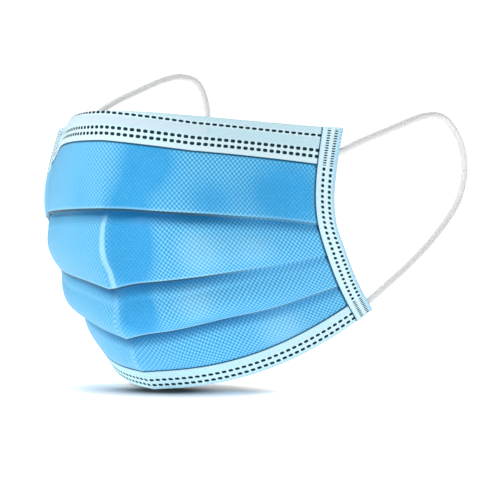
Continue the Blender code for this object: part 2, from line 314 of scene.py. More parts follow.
# A pale blue for the paler fibres, and for the painted highlights on the swellings, the crest of the crease
# and the rims of the folds
PALE_FIBRE_AND_HIGHLIGHT_BLUE = (0.480, 0.820, 0.980)
STRIP_WHITE = (0.680, 0.840, 0.880)
STRIP_CYAN = (0.330, 0.620, 0.790)
TOP_STRIP_WHITE = (0.670, 0.810, 0.850)
TOP_STRIP_CYAN = (0.430, 0.650, 0.740)
LOW_STRIP_WHITE = (0.640, 0.830, 0.880)
LOW_STRIP_CYAN = (0.360, 0.620, 0.740)
WIRE_WHITE = (0.480, 0.600, 0.700)
INNER_WHITE = (0.860, 0.900, 0.920)
INNER_BLUE = (0.660, 0.760, 0.820)
WELD_TEAL = (0.001, 0.026, 0.038)
WELD_AND_SHADOW_TEAL = (0.002, 0.085, 0.170)
# The dark teal of the painted shadow line at each fold's edge
FOLD_LINE_SHADOW_TEAL = (0.001, 0.045, 0.085)
ELASTIC_WHITE = (0.800, 0.805, 0.810)
ELASTIC_GREY = (0.700, 0.710, 0.720)
COATED_WIRE = (0.850, 0.850, 0.830)
WIRE_GREY = (0.780, 0.780, 0.770)
FLOOR_WHITE = (0.930, 0.935, 0.945)
FLOOR_SHADE = (0.006, 0.007, 0.009)
FLOOR_GREY = (0.880, 0.885, 0.890)

# Ramps of the looks: where each starts and ends, and its value at its start and its end.
# Those of the blue cloth run across it and from its folds, edges and crease, in millimetres.
NET_ACROSS = (-30.0, 30.0, 0.25, 1.0)
# Painted shade, a deeper blue, in the soft hollows, and painted light, a paler blue, on the swellings
HOLLOW_PAINTED_SHADE = (0.1, 1.4, 0.0, 0.85)
SWELLING_PAINTED_LIGHT = (-1.0, -0.1, 0.20, 0.0)
FIBRE_PALE = (0.48, 0.70, 0.0, 0.22)
# Painted highlight along the crest of the centre crease, between the first and the second fold, fading below
# the second
CREST_HIGHLIGHT_NEAR = (-2.5, -1.1, 0.0, 1.0)
CREST_HIGHLIGHT_FAR = (0.0, 0.5, 1.0, 0.0)
CREST_HIGHLIGHT_FROM_LEVEL = (1.0, 1.08, 0.0, 1.0)
CREST_HIGHLIGHT_TO_LEVEL = (1.9, 2.2, 1.0, 0.25)
CREST_HIGHLIGHT_SHARE = 0.52
# Painted shade under each fold, weaker on the wearer's right and where the fold lines are weaker
SHADE_ACROSS = (-28.0, 0.0, 0.30, 1.0)
FOLD_SHADE = (1.2, 6.5, 0.92, 0.0)
# Painted highlight along the rim of each fold
FOLD_RIM_HIGHLIGHT = (0.7, 1.5, 0.28, 0.0)
# Painted shadow, a dark teal line, at the edge of each fold
FOLD_LIP_SHADOW = (0.20, 0.58, 0.95, 0.0)
# A dark line where the blue cloth meets the strips and where a hem meets a side strip: partly the weld line,
# partly painted shade under the strip's edge
EDGE_WELD_AND_SHADOW = (0.50, 0.95, 0.95, 0.0)
END_WELD_AND_SHADOW = (0.35, 0.75, 0.90, 0.0)
STRIP_NET = (0.0, 1.0, 0.55, 1.0)
BOND_EDGE = (-1.3, 0.8, 0.0, 1.0)
WELD_EDGE = (0.70, 1.25, 1.0, 0.0)
KNIT_EDGE = (-0.6, 0.6, 0.0, 1.0)
FLOOR_GLOW = (0.022, 0.048, 0.0, 1.0)
# Painted shadow on the floor round the mask's lowest edge
FLOOR_SHADOW_REACH = (0.006, 0.025, 0.97, 0.0)
FLOOR_BOUNCE = (0.0, 0.016, 0.25, 0.62)

# The lattice of the cloth: its slant, the pitch of each cloth in millimetres, and its middle value
LATTICE_SLANT = 0.88
BLUE_PITCH = 1.70
STRIP_PITCH = 1.25
INNER_PITCH = 1.3
MIDDLE_BOND = 0.45

# Elastic: turns of its knit in radians, along a millimetre and round the cord
KNIT_ALONG = 5.2
KNIT_ROUND = 37.7

# Floor
FLOOR_RADIUS = 6
FLOOR_CORNERS = 96
FLOOR_PLACE = (0.006, 0.026)
FLOOR_GAP = 0.1 * MM
OVAL_ACROSS = 0.8

# Lights: angles in degrees, distance and size in metres, power in watts
LIGHTS = (
    # name, azimuth, elevation, distance, size, power
    ("left_soft_light", -42, 38, 0.9, 0.35, 4.9),
    ("front_soft_light", 32, 0, 0.9, 0.20, 1.7),
    ("right_soft_light", 80, 6, 0.9, 0.45, 2.0),
    ("top_soft_light", 10, 76, 0.9, 0.40, 2.2),
)
LIGHT_TARGET = (0, 0.03, -0.04)
ROOM_LIGHT = 0.22
ROOM_SEEN = 0.88


# The body's surface


def curve_points(row):
    """The section curve of one row, as close points from the centre line to the side."""
    centre_y, centre_z, front_x, front_y, front_z, turn_x, turn_y, turn_z, side_x, side_y, side_z = row
    size = np.array((HALF_WIDTH, FRONT_DEPTH, HEIGHT))
    centre = np.array((0, centre_y, centre_z)) * size
    front = np.array((front_x, front_y, front_z)) * size
    turn = np.array((turn_x, turn_y, turn_z)) * size
    side = np.array((side_x, side_y, side_z)) * size
    t = np.linspace(0, 1, CURVE_STEPS + 1)[:, None]
    return (1 - t) ** 3 * centre + 3 * (1 - t) ** 2 * t * front + 3 * (1 - t) * t ** 2 * turn + t ** 3 * side


def lengths_along(points):
    """How far each point lies along the line through all of them."""
    steps = np.linalg.norm(np.diff(points, axis=0), axis=1)
    return np.concatenate(([0], np.cumsum(steps)))


CURVES = [curve_points(row) for row in SECTIONS.values()]
CURVE_LENGTHS = [lengths_along(points) for points in CURVES]
HALF_LENGTH = CURVE_LENGTHS[0][-1]


def blend(start, end, share):
    return start + (end - start) * share


def smooth_step(share):
    share = np.clip(share, 0, 1)
    return share * share * (3 - 2 * share)


def cubic(t, start, start_slope, end, end_slope):
    """Points of a smooth curve between two points, each with its slope over the whole span."""
    return (
        (2 * t ** 3 - 3 * t ** 2 + 1) * start
        + (t ** 3 - 2 * t ** 2 + t) * start_slope
        + (3 * t ** 2 - 2 * t ** 3) * end
        + (t ** 3 - t ** 2) * end_slope
    )


def row_shares(count):
    """The share of the way at each of a number of rows, without the start."""
    return np.arange(1, count + 1)[None, :] / count


class Columns:
    """Smooth lines down the mask, each at a signed share of the way from the centre to a side.

    A level counts the sections from the top: 1.5 is halfway from the first fold to the second.
    """

    def __init__(self, shares, insets=0.0):
        self.shares = np.asarray(shares, float)
        self.insets = np.broadcast_to(insets, self.shares.shape)
        self.side = np.where(self.shares < 0, -1.0, 1.0)
        self.across = self.shares * (HALF_LENGTH - self.insets)
        knots = []
        for points, lengths in zip(CURVES, CURVE_LENGTHS):
            along = np.abs(self.shares) * (lengths[-1] - self.insets)
            knots.append(np.stack([np.interp(along, lengths, points[:, axis]) for axis in range(3)], axis=1))
        self.knots = np.stack(knots, axis=1)
        self.knots[..., 0] *= self.side[:, None]
        steps = np.linalg.norm(np.diff(self.knots, axis=1), axis=2)
        self.below_top = np.concatenate((np.zeros((len(self.shares), 1)), np.cumsum(steps, axis=1)), axis=1)
        steps = steps[..., None]
        slopes = np.diff(self.knots, axis=1) / steps
        above, below = steps[:, :-1], steps[:, 1:]
        inner = (slopes[:, :-1] * below + slopes[:, 1:] * above) / (above + below)
        first = 1.5 * slopes[:, :1] - 0.5 * inner[:, :1]
        last = 1.5 * slopes[:, -1:] - 0.5 * inner[:, -1:]
        self.tangents = np.concatenate((first, inner, last), axis=1)

    def fold_line(self, name):
        return self.below_top[:, FOLD_NUMBER[name]][:, None]

    def levels(self, below_top):
        counts = np.arange(self.knots.shape[1])
        return np.stack([np.interp(row, knots, counts) for row, knots in zip(below_top, self.below_top)])

    def points(self, levels):
        number = np.clip(levels.astype(int), 0, self.knots.shape[1] - 2)
        t = (levels - number)[..., None]
        line = np.arange(len(self.shares))[:, None]
        step = (self.below_top[line, number + 1] - self.below_top[line, number])[..., None]
        return cubic(
            t,
            self.knots[line, number],
            self.tangents[line, number] * step,
            self.knots[line, number + 1],
            self.tangents[line, number + 1] * step,
        )

    def inward(self, levels):
        """The direction from the mask's outer face towards the wearer."""
        near = 2e-3
        ahead = Columns(np.minimum(self.shares + near, 1), self.insets).points(levels)
        behind = Columns(np.maximum(self.shares - near, -1), self.insets).points(levels)
        down = self.points(levels + near) - self.points(levels - near)
        direction = np.cross(ahead - behind, down)
        return direction / np.linalg.norm(direction, axis=2, keepdims=True)

    def place(self, below_top, depth):
        levels = self.levels(below_top)
        depth = depth + relief(self, below_top, levels)
        return self.points(levels) + self.inward(levels) * depth[..., None]


def top_hem_width(across):
    """Width of the outer face of the top hem, which is less where its edge curls over the nose."""
    return np.interp(across / MM, TOP_HEM_ACROSS, TOP_HEM_WIDTHS) * MM


def from_crease(across, levels):
    """Signed distance from the line of the centre crease."""
    return across - np.interp(levels, CREASE_LEVELS, CREASE_ACROSS) * MM


def soft_hollows(columns, levels):
    """Depth in millimetres of the hollows of the worn cloth, less than nothing on its swellings."""
    across = columns.across[:, None] / MM
    depth = 0 * levels
    for centre, level, half_width, half_height, hollow in SOFT_FORMS:
        away = ((across - centre) / half_width) ** 2 + ((levels - level) / half_height) ** 2
        depth = depth + hollow * np.exp(-away)
    return depth


def relief(columns, below_top, levels):
    """Depth of the crease, the hollows and the soft waves, nothing at the hems and the side strips."""
    across = columns.across[:, None]
    from_side = HALF_LENGTH - BINDING_WIDTH - columns.insets[:, None] - np.abs(across)
    from_top = below_top - top_hem_width(across)
    from_low = columns.below_top[:, -1:] - LOW_HEM_WIDTH - below_top
    free = smooth_step(from_top / TOP_CALM) * smooth_step(from_low / LOW_CALM)
    waves = 0
    for height, across_turn, down_turn, phase in WAVES:
        waves = waves + height * np.sin(across / MM / across_turn + below_top / MM / down_turn + phase)
    depth = waves * smooth_step(from_side / WAVE_CALM)
    depth = depth + soft_hollows(columns, levels) * smooth_step(from_side / HOLLOW_CALM)
    crease_height = np.interp(levels, CREASE_LEVELS, CREASE_HEIGHT)
    reach = np.interp(levels, CREASE_LEVELS, CREASE_REACH)
    away = np.sqrt((from_crease(across, levels) / MM) ** 2 + CREASE_ROUND ** 2)
    return (depth - crease_height * np.exp(-away / reach)) * free * MM


# Meshes


def grid_mesh(name, points, attributes):
    """A sheet from a grid of points, columns first, with a vector for each vertex in each attribute."""
    across, down = points.shape[:2]
    numbers = np.arange(across * down).reshape(across, down)
    quads = np.stack((numbers[:-1, :-1], numbers[:-1, 1:], numbers[1:, 1:], numbers[1:, :-1]), axis=-1)
    mesh = bpy.data.meshes.new(name)
    mesh.from_pydata(points.reshape(-1, 3).tolist(), [], quads.reshape(-1, 4).tolist())
    for key, values in attributes.items():
        layer = mesh.attributes.new(key, "FLOAT_VECTOR", "POINT")
        layer.data.foreach_set("vector", np.asarray(values, np.float32).reshape(-1))
    mesh.shade_smooth()
    return mesh


def grid_normals(points):
    """The normal at each point of a grid, on the side away from the wearer."""
    across = np.gradient(points, axis=0)
    down = np.gradient(points, axis=1)
    normal = np.cross(down, across)
    return normal / np.linalg.norm(normal, axis=2, keepdims=True)


def vectors(*values):
    return np.stack(np.broadcast_arrays(*values), axis=-1)


def add_piece(name, mesh, material, nodes):
    piece = bpy.data.objects.new(name, mesh)
    bpy.context.scene.collection.objects.link(piece)
    piece.data.materials.append(material)
    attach(piece, "root")
    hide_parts(*nodes)
    return piece


def add_thickness(piece, thickness, even=True):
    solidify = piece.modifiers.new("Thickness", "SOLIDIFY")
    solidify.thickness = thickness
    solidify.offset = 0
    solidify.use_even_offset = even


def spread_evenly(start, end, count):
    """Points from start to end for each column, without the first."""
    return blend(start, end, row_shares(count))


# The blue panel


def panel_path(columns):
    """Down each column: distance below the top edge, depth, and distance above and below the folds."""
    radius = LAYER / 2
    share = np.abs(columns.shares)[:, None]
    slack = np.clip(1 - (share / BILLOW_REACH) ** BILLOW_POWER, 0, 1)
    hem_line = top_hem_width(columns.across[:, None])
    below, depth, above_fold, under_fold = [], [], [], []

    def add(new_below, new_depth, new_above=NO_FOLD_NEAR, new_under=NO_FOLD_NEAR):
        below.append(new_below)
        depth.append(np.broadcast_to(new_depth, new_below.shape))
        above_fold.append(np.broadcast_to(new_above, new_below.shape))
        under_fold.append(np.broadcast_to(new_under, new_below.shape))

    def face(end, billow, count, last_line):
        lines = spread_evenly(below[-1][:, -1:], end, count)
        bulge = np.sin(math.pi * row_shares(count))
        add(lines, -billow * slack * bulge, end - lines, lines - last_line)

    def turn(line, direction, start_depth):
        angle = math.pi * row_shares(TURN_ROWS)
        turned = -row_shares(TURN_ROWS) * MM
        add(line + direction * radius * np.sin(angle), start_depth + radius * (1 - np.cos(angle)), turned)

    add(np.full_like(share, PANEL_TOP), 0)
    add(spread_evenly(below[-1][:, -1:], hem_line, HIDDEN_ROWS), 0)
    last_line = hem_line - NO_FOLD_NEAR
    for fold, (centre_tuck, side_tuck, centre_ease, side_ease, billow) in PLEATS.items():
        lift = FOLD_LIFTS[fold] * np.exp(-(columns.across[:, None] / LIFT_REACH) ** 2)
        line = columns.fold_line(fold) - lift
        valley = line - blend(centre_tuck, side_tuck, smooth_step(share))
        ease = blend(centre_ease, side_ease, share)
        recess = blend(RECESS, 2 * LAYER, smooth_step((share - RECESS_END) / RECESS_FADE))
        face(line, billow, FACE_ROWS[fold], last_line)
        turn(line, 1, 0)
        add(spread_evenly(line, valley, TUCK_ROWS), LAYER)
        turn(valley, -1, LAYER)
        returned = spread_evenly(valley, line + radius, RETURN_ROWS)
        sink = smooth_step(row_shares(RETURN_ROWS))
        add(returned, blend(2 * LAYER, recess, sink), NO_FOLD_NEAR, 0.0)
        eased = spread_evenly(line + radius, line + radius + ease, EASE_ROWS)
        rise = smooth_step(row_shares(EASE_ROWS))
        add(eased, recess * (1 - rise), NO_FOLD_NEAR, eased - line)
        last_line = line
    low_edge = columns.below_top[:, -1:]
    face(low_edge - LOW_HEM_WIDTH, LAST_BILLOW, LAST_FACE_ROWS, last_line)
    above_fold[-1] = np.full_like(above_fold[-1], NO_FOLD_NEAR)
    add(spread_evenly(low_edge - LOW_HEM_WIDTH, low_edge - PANEL_LOW, HIDDEN_ROWS), 0)
    return tuple(np.concatenate(part, axis=1) for part in (below, depth, above_fold, under_fold))


def crowded_shares(count):
    """Shares from one side to the other, closer together near the centre crease."""
    even = np.linspace(-1, 1, count)
    return even * (MIDDLE_CROWDING + (1 - MIDDLE_CROWDING) * even ** 2)


def line_strength(shares, levels):
    """How strongly the painted shade and highlights along the folds show, from one at the centre to less at
    the sides.
    """
    sideways = smooth_step((np.abs(shares)[:, None] - WEAK_START) / WEAK_WIDTH)
    beside_fold_two = np.exp(-((levels - WEAK_LEVEL) / WEAK_LEVEL_REACH) ** 2)
    return 1 - sideways * (WEAK_LOSS + WEAK_MORE * beside_fold_two)


def make_plies(blue, white):
    shares = crowded_shares(PANEL_COLUMNS)
    columns = Columns(shares, PANEL_INSET)
    below, depth, above_fold, under_fold = panel_path(columns)
    middle = columns.place(below, depth)
    normal = grid_normals(middle)
    steps = np.linalg.norm(np.diff(middle, axis=1), axis=2)
    along = np.concatenate((np.zeros((len(shares), 1)), np.cumsum(steps, axis=1)), axis=1)
    across = columns.across[:, None]
    levels = columns.levels(below)
    from_hem = np.minimum(below - top_hem_width(across), columns.below_top[:, -1:] - LOW_HEM_WIDTH - below)
    from_side = HALF_LENGTH - BINDING_WIDTH - np.abs(across)
    cloth = vectors(across / MM, along / MM, levels)
    edges = vectors(np.minimum(from_hem, from_side) / MM, above_fold / MM, under_fold / MM)
    strength = line_strength(shares, levels)
    crease = vectors(from_crease(across, levels) / MM, strength, soft_hollows(columns, levels))
    layers = {"cloth_mm": cloth, "edge_mm": edges, "crease_mm": crease}
    outer_mesh = grid_mesh("outer_ply", middle + normal * PLY_OFFSET, layers)
    outer = add_piece("outer_ply", outer_mesh, blue, ["pleated_panel"])
    inner_mesh = grid_mesh("inner_ply", middle - normal * PLY_OFFSET, layers)
    inner = add_piece("inner_ply", inner_mesh, white, ["pleated_panel"])
    for ply in (outer, inner):
        add_thickness(ply, PLY, even=False)


# Hems


def weld_mask(position, distance, weld, start=None, end=None):
    """One at the middle of each weld of a row, falling to nothing round it."""
    near = np.mod(position / weld["pitch"], 1) - 0.5
    lengthwise = near * weld["pitch"] / (weld["length"] / 2)
    crosswise = distance / (weld["width"] / 2)
    mask = 1 - smooth_step((lengthwise ** 2 + crosswise ** 2) / WELD_FADE)
    if start is not None:
        mask = mask * ((position > start) & (position < end))
    return mask


def over_wire(across, distance):
    """One where the top hem lies over the nose wire, nothing past its end and beside its edges."""
    along_wire = smooth_step((WIRE_HALF - WIRE_TAIL - np.abs(across)) / WIRE_END_FADE + 0.5)
    across_wire = (distance - WIRE_ABOVE_LINE - WIRE_WIDTH / 2) / (WIRE_WIDTH / 2)
    return along_wire * smooth_step(WIRE_EDGE_START - WIRE_EDGE_FALL * np.abs(across_wire))


def make_hem(name, node, edge_side, rows, material, tint):
    """A strip folded over an edge: up the outer face, round the edge and down the inside.

    Distances across the strip are counted from its open line towards the folded edge.
    """
    columns = Columns(np.linspace(-1, 1, HEM_COLUMNS), BINDING_WIDTH)
    across = columns.across[:, None]
    edge = 0 if edge_side > 0 else columns.below_top[:, -1:]
    width = top_hem_width(across) if edge_side > 0 else np.full_like(across, LOW_HEM_WIDTH)
    fold_centre = STRIP / 2 + STRIP_OFFSET
    leaf = blend(width, fold_centre, np.arange(HEM_LEAF_ROWS + 1)[None, :] / HEM_LEAF_ROWS)
    angle = math.pi * np.arange(1, HEM_TURN_ROWS)[None, :] / HEM_TURN_ROWS
    turn = fold_centre - STRIP_OFFSET * np.sin(angle) + 0 * across
    from_edge = np.concatenate((leaf, turn, leaf[:, ::-1]), axis=1)
    side = np.concatenate((0 * leaf - 1, 0 * across - np.cos(angle), 0 * leaf + 1), axis=1)
    distance = width - from_edge
    depth = side * STRIP_OFFSET
    welds = sum(weld_mask(across, distance - at, weld) for at, weld in rows)
    depth = depth - side * welds * WELD_DEPTH
    wire = over_wire(across, distance) if edge_side > 0 else 0 * distance
    depth = depth - (side < 0) * wire * WIRE_RISE
    points = columns.place(edge + edge_side * from_edge, depth)
    cloth = vectors(across / MM, distance / MM, side)
    from_end = HALF_LENGTH - BINDING_WIDTH - np.abs(across)
    whiteness = np.interp(np.abs(across) / MM, *WIRE_WHITENESS)
    marks = vectors(np.interp(distance / MM, *tint), wire * whiteness, from_end / MM)
    mesh = grid_mesh(name, points, {"cloth_mm": cloth, "marks": marks})
    hem = add_piece(name, mesh, material, [node])
    add_thickness(hem, STRIP)


# Side bindings


def make_binding(name, node, side, material):
    """A strip folded over the side edge, swollen inwards over the stacked layers of the pleats."""
    edge = Columns(np.array([1.0]))
    length = edge.below_top[0, -1]
    stations = np.linspace(0, length, SIDE_COLUMNS)
    lean = STRIP_OFFSET
    full = STRIP_OFFSET + 2 * LAYER
    first_valley = edge.below_top[0, 1] - PLEATS["fold_one"][1]
    last_fold = edge.below_top[0, 3]
    swell_end = length - LOW_HEM_WIDTH + SWELL_INTO_HEM
    knots = (TOP_HEM_WIDTH, first_valley - SWELL_ABOVE, last_fold + SWELL_BELOW, swell_end)
    inner_depth = np.interp(stations, knots, (lean, full, full, lean))[None, :]
    turn_start = STRIP / 2 + EDGE_ROUND
    leaf = blend(BINDING_WIDTH, turn_start, np.arange(SIDE_LEAF_ROWS + 1) / SIDE_LEAF_ROWS)
    angle = math.pi * (np.arange(1, SIDE_TURN_ROWS) / SIDE_TURN_ROWS - 0.5)
    insets = np.concatenate((leaf, turn_start - EDGE_ROUND * np.cos(angle), leaf[::-1]))
    face = np.concatenate((-np.ones_like(leaf), np.sin(angle), np.ones_like(leaf)))[:, None]
    depth = (inner_depth - lean) / 2 + (inner_depth + lean) / 2 * face
    columns = Columns(np.ones_like(insets), insets)
    from_line = (BINDING_WIDTH - insets)[:, None]
    position = stations[None, :]
    welds = 0
    for at, weld, start, end in binding_rows(length):
        welds = welds + weld_mask(position, from_line - at, weld, start, end)
    depth = depth - face * welds * WELD_DEPTH
    levels = np.repeat(edge.levels(stations[None, :]), len(insets), axis=0)
    points = columns.points(levels) + columns.inward(levels) * depth[..., None]
    points = points * np.array((side, 1, 1))
    if side < 0:
        points = points[::-1]
        from_line, face = from_line[::-1], face[::-1]
    cloth = vectors(position / MM, from_line / MM, face)
    tint = np.interp(from_line / MM, *SIDE_TINT)
    marks = vectors(tint + 0 * position, 0.0, NO_END_NEAR)
    mesh = grid_mesh(name, points, {"cloth_mm": cloth, "marks": marks})
    binding = add_piece(name, mesh, material, [node])
    add_thickness(binding, STRIP)


def binding_rows(length):
    """The rows of welds down a side strip: distance from its inner line, the weld, and where it runs."""
    top_end = TOP_HEM_WIDTH + STITCH_PAST_HEM
    low_start = length - LOW_HEM_WIDTH
    rows = []
    for at in BINDING_ROWS:
        rows.append((at, STITCH, STITCH_INSET, top_end))
        rows.append((at, ROUND_DOT, top_end, low_start))
        rows.append((at, STITCH, low_start, length - STITCH_INSET))
    return rows


# Nose wire


def make_nose_wire(material):
    """A flat wire in the fold of the top hem."""
    across = np.linspace(-WIRE_HALF, WIRE_HALF, WIRE_COLUMNS)
    columns = Columns(across / HALF_LENGTH)
    line = top_hem_width(columns.across)[:, None]
    below = line - WIRE_ABOVE_LINE - WIRE_WIDTH * np.linspace(1, 0, WIRE_ROWS)[None, :]
    points = columns.place(below, np.full_like(below, -WIRE_OUT))
    cloth = vectors(across[:, None] / MM, below / MM, 0.0)
    mesh = grid_mesh("nose_strip", points, {"cloth_mm": cloth})
    wire = add_piece("nose_strip", mesh, material, ["nose_wire"])
    add_thickness(wire, WIRE_THICKNESS)


# Ear loops


def smooth_route(route, count):
    """Evenly spaced points along a smooth curve through a cord's route."""
    knots = np.array(route) * MM
    spans = np.sqrt(np.linalg.norm(np.diff(knots, axis=0), axis=1))
    times = np.concatenate(([0], np.cumsum(spans)))
    slopes = np.gradient(knots, times, axis=0)
    fine = []
    for number, span in enumerate(spans):
        start_slope = slopes[number] * span
        end_slope = slopes[number + 1] * span
        for t in np.linspace(0, 1, ROUTE_STEPS, endpoint=False):
            fine.append(cubic(t, knots[number], start_slope, knots[number + 1], end_slope))
    fine = np.array(fine + [knots[-1]])
    lengths = lengths_along(fine)
    along = np.linspace(0, lengths[-1], count)
    return np.stack([np.interp(along, lengths, fine[:, axis]) for axis in range(3)], axis=1)


def make_ear_loop(name, node, route, side, material):
    """A round knitted elastic, flattened where its ends are welded inside the side strip."""
    line = smooth_route(route, LOOP_RINGS)
    lengths = lengths_along(line)
    tangent = np.gradient(line, axis=0)
    tangent /= np.linalg.norm(tangent, axis=1, keepdims=True)
    inward = np.array((-side, 0.0, 0.0)) + 0 * line
    flat_way = inward - (inward * tangent).sum(axis=1, keepdims=True) * tangent
    flat_way /= np.linalg.norm(flat_way, axis=1, keepdims=True)
    wide_way = np.cross(tangent, flat_way)
    from_end = np.minimum(lengths, lengths[-1] - lengths)
    pressed = 1 - smooth_step((from_end - PRESSED_LENGTH) / PRESSED_FADE)
    thick = (LOOP_DIAMETER / 2 * blend(1.0, PRESSED_THICK, pressed))[:, None]
    wide = (LOOP_DIAMETER / 2 * blend(1.0, PRESSED_WIDE, pressed))[:, None]
    angle = (2 * math.pi * np.arange(LOOP_SIDES + 1) / LOOP_SIDES)[None, :]
    wales = np.sin(KNIT_WALES * angle + 2 * lengths[:, None] / KNIT_TWIST)
    swell = 1 + KNIT_SWELL * wales * np.sin(lengths[:, None] / KNIT_COURSE)
    offset = np.cos(angle)[..., None] * flat_way[:, None] * (thick * swell)[..., None]
    offset = offset + np.sin(angle)[..., None] * wide_way[:, None] * (wide * swell)[..., None]
    points = line[:, None] + offset
    cloth = vectors(lengths[:, None] / MM, angle / (2 * math.pi), 0.0)
    mesh = grid_mesh(name, points, {"cloth_mm": cloth})
    close_tube(mesh)
    piece = add_piece(name, mesh, material, [node])


def close_tube(mesh):
    """Joins the tube's seam and closes its two ends."""
    tube = bmesh.new()
    tube.from_mesh(mesh)
    bmesh.ops.remove_doubles(tube, verts=tube.verts, dist=0.001 * MM)
    bmesh.ops.holes_fill(tube, edges=[edge for edge in tube.edges if edge.is_boundary])
    bmesh.ops.recalc_face_normals(tube, faces=tube.faces)
    tube.to_mesh(mesh)
    tube.free()
    mesh.shade_smooth()


# Shader node groups


# Numbers of the Mix node's colour sockets
MIX_COLOURS = (6, 7)
MIX_RESULT = 2


class Graph:
    """Adds and joins the nodes of one tree."""

    def __init__(self, tree):
        self.tree = tree

    def node(self, kind, settings=None, **inputs):
        node = self.tree.nodes.new(kind)
        for key, value in (settings or {}).items():
            setattr(node, key, value)
        for key, value in inputs.items():
            self.feed(node.inputs[key.replace("_", " ")], value)
        return node

    def feed(self, socket, value):
        if isinstance(value, bpy.types.NodeSocket):
            self.tree.links.new(value, socket)
        else:
            socket.default_value = value

    def math(self, operation, *values):
        node = self.tree.nodes.new("ShaderNodeMath")
        node.operation = operation
        for socket, value in zip(node.inputs, values):
            self.feed(socket, value)
        return node.outputs[0]

    def mix(self, share, first, second):
        """Blends two colours, each of them a socket or a red, green and blue."""
        node = self.tree.nodes.new("ShaderNodeMix")
        node.data_type = "RGBA"
        self.feed(node.inputs["Factor"], share)
        for number, colour in zip(MIX_COLOURS, (first, second)):
            is_socket = isinstance(colour, bpy.types.NodeSocket)
            self.feed(node.inputs[number], colour if is_socket else (*colour, 1))
        return node.outputs[MIX_RESULT]

    def ramp(self, value, low, high, from_value=0.0, to_value=1.0):
        settings = {"interpolation_type": "SMOOTHSTEP"}
        node = self.node("ShaderNodeMapRange", settings, Value=value, From_Min=low, From_Max=high)
        self.feed(node.inputs["To Min"], from_value)
        self.feed(node.inputs["To Max"], to_value)
        return node.outputs["Result"]

    def split(self, vector):
        return self.node("ShaderNodeSeparateXYZ", Vector=vector).outputs

    def join(self, x, y, z=0.0):
        return self.node("ShaderNodeCombineXYZ", X=x, Y=y, Z=z).outputs[0]

    def attribute(self, name):
        return self.node("ShaderNodeAttribute", {"attribute_name": name}).outputs["Vector"]

    def group(self, group, **inputs):
        node = self.tree.nodes.new("ShaderNodeGroup")
        node.node_tree = group
        for key, value in inputs.items():
            self.feed(node.inputs[key.replace("_", " ")], value)
        return node.outputs


def new_group(name, inputs, outputs):
    """An empty node group. Inputs are names, kinds and defaults, outputs are names and kinds."""
    group = bpy.data.node_groups.new(name, "ShaderNodeTree")
    for socket, kind, default in inputs:
        made = group.interface.new_socket(socket, in_out="INPUT", socket_type=kind)
        if default is not None:
            made.default_value = default
    for socket, kind in outputs:
        group.interface.new_socket(socket, in_out="OUTPUT", socket_type=kind)
    graph = Graph(group)
    entry = group.nodes.new("NodeGroupInput").outputs
    leave = group.nodes.new("NodeGroupOutput").inputs
    return group, graph, entry, leave


def lattice_group():
    """The embossed lattice of a spunbond cloth: small oval bond points in diagonal rows, and fibres."""
    group, graph, entry, leave = new_group(
        "Spunbond lattice",
        [("Cloth", "NodeSocketVector", None), ("Pitch", "NodeSocketFloat", 1.3)],
        [(name, "NodeSocketFloat") for name in ("Bonds", "Fibres", "Height")],
    )
    x, y, _ = graph.split(entry["Cloth"])
    waves = []
    for side in ("ADD", "SUBTRACT"):
        slanted = graph.math(side, x, graph.math("MULTIPLY", y, LATTICE_SLANT))
        turns = graph.math("DIVIDE", slanted, entry["Pitch"])
        waves.append(graph.math("COSINE", graph.math("MULTIPLY", turns, 2 * math.pi)))
    bonds = graph.ramp(graph.math("ADD", *waves), *BOND_EDGE)
    flat_cloth = graph.join(x, y)
    settings = {"noise_dimensions": "2D"}
    noise = "ShaderNodeTexNoise"
    fine = graph.node(noise, settings, Vector=flat_cloth, Scale=4.2, Detail=3.0, Roughness=0.6)
    turned = graph.join(graph.math("MULTIPLY", x, 0.35), graph.math("MULTIPLY", y, 2.6))
    strands = graph.node(noise, settings, Vector=turned, Scale=2.2, Detail=2.0, Distortion=1.6)
    halves = [graph.math("MULTIPLY", texture.outputs[0], 0.5) for texture in (fine, strands)]
    fibres = graph.math("ADD", *halves)
    height = graph.math("SUBTRACT", graph.math("MULTIPLY", fibres, 0.5), bonds)
    graph.feed(leave["Bonds"], bonds)
    graph.feed(leave["Fibres"], fibres)
    graph.feed(leave["Height"], height)
    return group


def weld_group():
    """One row of welds along a strip: a mask that is one on each weld between two ends."""
    names = ("Pitch", "Row", "Length", "Width", "Start", "End")
    inputs = [("Cloth", "NodeSocketVector", None)] + [(name, "NodeSocketFloat", None) for name in names]
    group, graph, entry, leave = new_group("Weld row", inputs, [("Mask", "NodeSocketFloat")])
    x, y, _ = graph.split(entry["Cloth"])
    near = graph.math("SUBTRACT", graph.math("FRACT", graph.math("DIVIDE", x, entry["Pitch"])), 0.5)
    near = graph.math("MULTIPLY", near, entry["Pitch"])
    lengthwise = graph.math("DIVIDE", graph.math("MULTIPLY", near, 2.0), entry["Length"])
    from_row = graph.math("SUBTRACT", y, entry["Row"])
    crosswise = graph.math("DIVIDE", graph.math("MULTIPLY", from_row, 2.0), entry["Width"])
    cubes = [graph.math("POWER", graph.math("ABSOLUTE", way), 3.0) for way in (lengthwise, crosswise)]
    mask = graph.ramp(graph.math("ADD", *cubes), *WELD_EDGE)
    past_start = graph.math("GREATER_THAN", x, entry["Start"])
    before_end = graph.math("LESS_THAN", x, entry["End"])
    inside = graph.math("MULTIPLY", past_start, before_end)
    graph.feed(leave["Mask"], graph.math("MULTIPLY", mask, inside))
    return group


def new_material(name):
    material = bpy.data.materials.new(name)
    material.use_nodes = True
    graph = Graph(material.node_tree)
    shader = material.node_tree.nodes["Principled BSDF"]
    return material, graph, shader


def add_bump(graph, shader, height, strength, distance):
    bump = graph.node("ShaderNodeBump", Height=height, Strength=strength, Distance=distance)
    graph.feed(shader.inputs["Normal"], bump.outputs[0])


